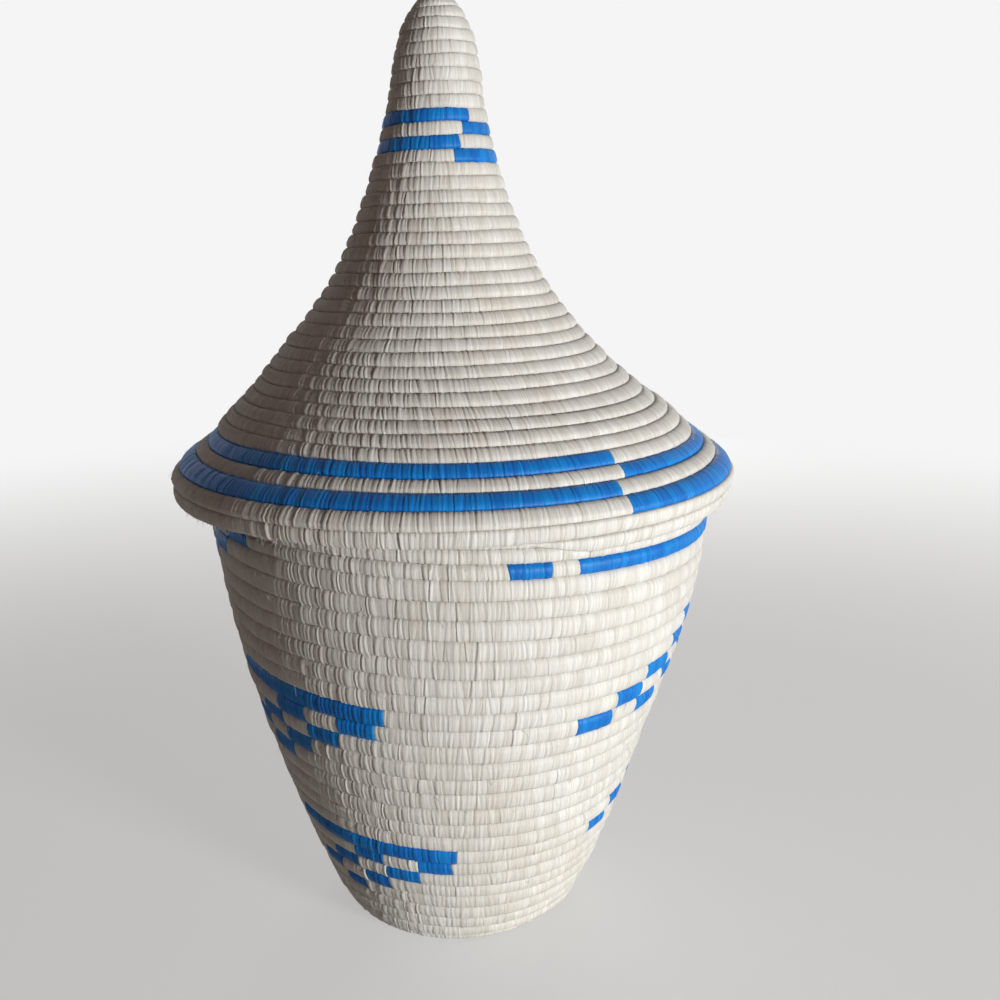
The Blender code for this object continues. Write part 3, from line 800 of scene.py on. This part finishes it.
# The knot at the tip of the lid
# The start of the lid's coil: a short bundle tied off and wrapped over its end, so that it closes the tip.
TIP_STEPS = 12
TIP_OVERLAP = 0.0012
TIP_FLOOR_DROP = 0.003
TIP_FLOOR_SHARE = 0.6

tip_lengths = np.linspace(0, KNOT_LENGTH + TIP_OVERLAP, TIP_STEPS)
tip_outer = np.column_stack([np.interp(tip_lengths, lid_line[0], lid_line[1][:, k]) for k in (0, 1)])
tip_floor = tip_outer[-1, 1] - TIP_FLOOR_DROP
tip_inner = [(0.0, tip_floor), (tip_outer[-1, 0] * TIP_FLOOR_SHARE, tip_floor)]
tip_line = np.vstack([tip_inner, tip_outer[::-1]])
tip_knot = wrapped_knot("lid_tip_knot_wraps", tip_line, wraps=14, twist=0.9, material=natural_sisal)
tip_knot.data.transform(Matrix.Translation((lid_sway(cad_high.z), 0, 0)))
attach(tip_knot, "lid")
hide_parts("lid_start_knot")

# The collar
# A short coil sewn under the lid. It drops inside the mouth and keeps the lid over the basket.
COLLAR_COURSES = 4
COLLAR_THICKNESS = 0.0055
COLLAR_EASE = 0.0012
COLLAR_TOP_DROP = 0.001
COLLAR_PHASE = 2.2

collar_low, collar_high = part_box("lid_collar")
collar_radius = collar_high.x - COLLAR_EASE
collar_top = collar_high.z - COLLAR_TOP_DROP
collar_line = smooth_line([(collar_radius, collar_top), (collar_radius, collar_low.z)], outer_side=1)


def collar_course_length(courses):
    """Length down the collar: even courses."""
    return courses * collar_line[0][-1] / COLLAR_COURSES


def collar_courses(turn):
    """The collar's courses are its turns, laid a little unevenly."""
    return turn + wander(turn, COLLAR_PHASE)


collar_coil = Coil(
    line=collar_line,
    course_length=collar_course_length,
    courses=collar_courses,
    first=0.0,
    last=COLLAR_COURSES,
    end=COLLAR_COURSES + 1,
    thickness=COLLAR_THICKNESS,
    stitch=BODY_STITCH,
    lean=0.0,
    sway=unmoved,
    tilt=unmoved,
    squareness=even_squareness,
    seed=5,
)
collar = wrapped_piece("collar_wraps", collar_coil, np.arange(len(collar_coil.turns) - 1), natural_sisal)
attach(collar, "lid")
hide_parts("lid_collar")

# Loose fibres
# Ends of sisal that work free from the wraps, most of them at the front left, and a frayed lower edge of
# the lid, where the last wraps were cut and never trimmed. Natural fibre, and a few blue from the motifs.
FIBRE_STEPS = 7
FIBRE_SIDES = 3
FIBRE_SLANT = 0.45
FIBRE_BEND = 0.35
FIBRE_RADII = (0.00008, 0.00015)
FIBRE_FADES_AT = 1.02
ROOT_DEPTH = 0.0005
OUTWARD_STEP = 0.001
FLOOR_CLEARANCE = 0.0003
FURTHEST_ACROSS = 0.95


def fibres(name, coil, turns, across, upward, length, lift, material, seed):
    """Thin three-sided tubes, rooted on the coil: root + L (t along + lift t^2 out + bend t^2 aside).

    t runs from 0 to 1 along the fibre, and its radius shrinks with the root of a little more than 1,
    less t. The way along is up or down the wall with a slant, as the wraps run.
    """
    random = np.random.default_rng(seed)
    count = len(turns)
    low, high = coil.edges(turns)
    azimuth = -2 * math.pi * turns
    at = (low + high) / 2 + across * (high - low) / 2
    fallen = 1 - np.sqrt(1 - np.clip(across, -FURTHEST_ACROSS, FURTHEST_ACROSS) ** 2)
    sunk = ROOT_DEPTH + coil.thickness / 2 * fallen
    root = coil.place(at, sunk, azimuth)
    out = coil.place(at, sunk - OUTWARD_STEP, azimuth) - root
    out = out / np.linalg.norm(out, axis=1)[:, None]
    aside = np.column_stack([np.cos(azimuth), np.sin(azimuth), np.zeros(count)])
    up = np.cross(out, aside)
    up = up * np.where(up[:, 2:3] < 0, -1.0, 1.0)
    slant = random.normal(0, FIBRE_SLANT, count)
    way = up * (np.cos(slant) * upward)[:, None] + aside * np.sin(slant)[:, None]
    size = random.uniform(*length, count)[:, None]
    raised = random.uniform(*lift, count)[:, None]
    bend = random.normal(0, FIBRE_BEND, count)[:, None]
    t = np.linspace(0, 1, FIBRE_STEPS)[:, None, None]
    middle = root + size * (t * way + t ** 2 * raised * out + t ** 2 * bend * aside)
    middle[..., 2] = np.maximum(middle[..., 2], FLOOR_CLEARANCE)
    thick = random.uniform(*FIBRE_RADII, count)[:, None] * np.sqrt(FIBRE_FADES_AT - t)
    points = []
    for k in range(FIBRE_SIDES):
        angle = 2 * math.pi * k / FIBRE_SIDES
        points.append(middle + thick * (math.cos(angle) * aside + math.sin(angle) * out))
    points = np.stack(points, axis=2).transpose(1, 0, 2, 3)
    quads = tube_faces(FIBRE_STEPS, FIBRE_SIDES)
    first = np.arange(count) * FIBRE_STEPS * FIBRE_SIDES
    all_quads = (quads[None] + first[:, None, None]).reshape(-1, 4)
    ring = np.arange(FIBRE_SIDES)
    caps = [*(first[:, None] + ring[::-1]), *(first[:, None] + ring + (FIBRE_STEPS - 1) * FIBRE_SIDES)]
    number = np.repeat(np.arange(count), len(quads) * 4).reshape(-1, 4)
    quad_uv = np.stack([number + 0.5, np.full(number.shape, CREST)], axis=-1)
    cap_uv = [np.full((FIBRE_SIDES, 2), CREST)] * len(caps)
    return make_mesh(name, points.reshape(-1, 3), all_quads, caps, quad_uv, cap_uv, material)


# The body's natural fibres are drawn by weight: an even one everywhere, and a bell curve of the azimuth in
# degrees, highest near where the wraps are loosest. None stand on the base. Lifts are shares of a length.
BODY_FIBRES = 520
BLUE_FIBRES = 70
LID_FIBRES = 260
EDGE_FIBRES = 300
EVEN_WEIGHT = 0.25
FRAYED_WEIGHT = 1.6
FRAYED_AZIMUTH = -28
FRAYED_SPREAD = 22
ACROSS = 0.7
EDGE_ACROSS = (0.55, 0.95)
EDGE_TURNS = (LID_END_TURN - 1.0, LID_END_TURN - 0.06)

choose = np.random.default_rng(21)
azimuths = (-body_middles * 360 + 180) % 360 - 180
frayed = np.exp(-((azimuths - FRAYED_AZIMUTH) / FRAYED_SPREAD) ** 2)
weight = np.where(body_is_blue, 0.0, EVEN_WEIGHT + frayed * FRAYED_WEIGHT)
weight[body_middles < 0] = 0
picked = choose.choice(len(body_middles), BODY_FIBRES, p=weight / weight.sum(), replace=False)
body_fibres = fibres("basket_loose_fibres", body_coil, body_middles[picked],
                     across=choose.uniform(-ACROSS, ACROSS, BODY_FIBRES),
                     upward=choose.choice([-1, 1], BODY_FIBRES),
                     length=(0.003, 0.009), lift=(0.05, 0.45), material=natural_sisal, seed=22)
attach(body_fibres, "basket")
picked = choose.choice(np.flatnonzero(body_is_blue), BLUE_FIBRES, replace=False)
blue_fibres = fibres("basket_blue_fibres", body_coil, body_middles[picked],
                     across=choose.uniform(-ACROSS, ACROSS, BLUE_FIBRES),
                     upward=choose.choice([-1, 1], BLUE_FIBRES),
                     length=(0.003, 0.007), lift=(0.05, 0.35), material=blue_sisal, seed=23)
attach(blue_fibres, "basket")
picked = choose.choice(np.flatnonzero(~lid_is_blue), LID_FIBRES, replace=False)
lid_fibres = fibres("lid_loose_fibres", lid_coil, lid_middles[picked],
                    across=choose.uniform(-ACROSS, ACROSS, LID_FIBRES),
                    upward=choose.choice([-1, 1], LID_FIBRES),
                    length=(0.002, 0.006), lift=(0.05, 0.35), material=natural_sisal, seed=24)
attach(lid_fibres, "lid")
edge_turns = choose.uniform(*EDGE_TURNS, EDGE_FIBRES)
edge_fibres = fibres("lid_edge_fibres", lid_coil, edge_turns,
                     across=choose.uniform(*EDGE_ACROSS, EDGE_FIBRES),
                     upward=np.full(EDGE_FIBRES, -1),
                     length=(0.0015, 0.0045), lift=(0.0, 0.6), material=natural_sisal, seed=25)
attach(edge_fibres, "lid")

# The floor and the light
# A plain pale floor that fades away to white. The light is a window's: soft, level and from the right, with
# a weak one from the left, another that shows the back, and a dim warm room all round.
LIT_PLACE = (0, 0, 0.22)


def area_light(name, place, size, power):
    """A square soft light that faces the middle of the basket."""
    lamp = bpy.data.lights.new(name, "AREA")
    lamp.size = size
    lamp.energy = power
    holder = bpy.data.objects.new(name, lamp)
    away = np.array(place) - np.array(LIT_PLACE)
    holder.location = place
    flat = math.hypot(away[0], away[1])
    holder.rotation_euler = (math.atan2(flat, away[2]), 0, math.atan2(away[1], away[0]) + math.pi / 2)
    bpy.context.scene.collection.objects.link(holder)


area_light("key", place=(1.06, -1.04, 0.25), size=0.3, power=21.2)
area_light("fill", place=(-0.9, -1.3, 0.9), size=1.2, power=0.4)
area_light("back", place=(0.24, 1.38, 0.25), size=0.7, power=8.0)

world = bpy.data.worlds.new("studio")
bpy.context.scene.world = world
world.use_nodes = True
background = world.node_tree.nodes["Background"]
light_path = add_node(world.node_tree, "ShaderNodeLightPath")
seen = add_node(world.node_tree, "ShaderNodeMath", None,
                {0: light_path.outputs["Is Camera Ray"], 1: light_path.outputs["Is Glossy Ray"]},
                operation="MAXIMUM")
shade = add_node(world.node_tree, "ShaderNodeMix", {"A": linear("#3A261B"), "B": linear("#F5F5F5")},
                 {"Factor": seen.outputs[0]}, data_type="RGBA")
world.node_tree.links.new(shade.outputs["Result"], background.inputs["Color"])
background.inputs["Strength"].default_value = 1.0

FLOOR_HALF = 3.0
FLOOR_DROP = -0.0003
FLOOR_LIFT = 0.55
CORNERS = ((-1, -1), (1, -1), (1, 1), (-1, 1))
floor_mesh = bpy.data.meshes.new("floor")
floor_corners = [(x * FLOOR_HALF, y * FLOOR_HALF, FLOOR_DROP) for x, y in CORNERS]
floor_mesh.from_pydata(floor_corners, [], [(0, 1, 2, 3)])
floor = bpy.data.objects.new("floor", floor_mesh)
floor_paint = bpy.data.materials.new("matt studio floor")
floor_paint.use_nodes = True
floor_tree = floor_paint.node_tree
floor_surface = floor_tree.nodes["Principled BSDF"]
floor_surface.inputs["Base Color"].default_value = linear("#E4E4E2")
floor_surface.inputs["Roughness"].default_value = 0.9
floor_place = add_node(floor_tree, "ShaderNodeTexCoord")
from_middle = add_node(floor_tree, "ShaderNodeVectorMath", None, {0: floor_place.outputs["Object"]},
                       operation="LENGTH")
fading = add_node(floor_tree, "ShaderNodeMapRange", {"From Min": 0.35, "From Max": 1.5},
                  {"Value": from_middle.outputs["Value"]}, interpolation_type="SMOOTHSTEP")
nothing = add_node(floor_tree, "ShaderNodeBsdfTransparent")
seen_directly = add_node(floor_tree, "ShaderNodeLightPath")
lift = add_node(floor_tree, "ShaderNodeMath", {1: FLOOR_LIFT}, {0: seen_directly.outputs["Is Camera Ray"]},
                operation="MULTIPLY")
pale = add_node(floor_tree, "ShaderNodeEmission", {"Color": linear("#E9E9E8")})
lifted = add_node(floor_tree, "ShaderNodeMixShader", None,
                  {0: lift.outputs[0], 1: floor_surface.outputs[0], 2: pale.outputs[0]})
faded = add_node(floor_tree, "ShaderNodeMixShader", None,
                 {0: fading.outputs[0], 1: lifted.outputs[0], 2: nothing.outputs[0]})
floor_tree.links.new(faded.outputs[0], floor_tree.nodes["Material Output"].inputs["Surface"])
floor_mesh.materials.append(floor_paint)
bpy.context.scene.collection.objects.link(floor)
floor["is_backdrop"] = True

bpy.context.scene.view_settings.view_transform = "Standard"

low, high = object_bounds()
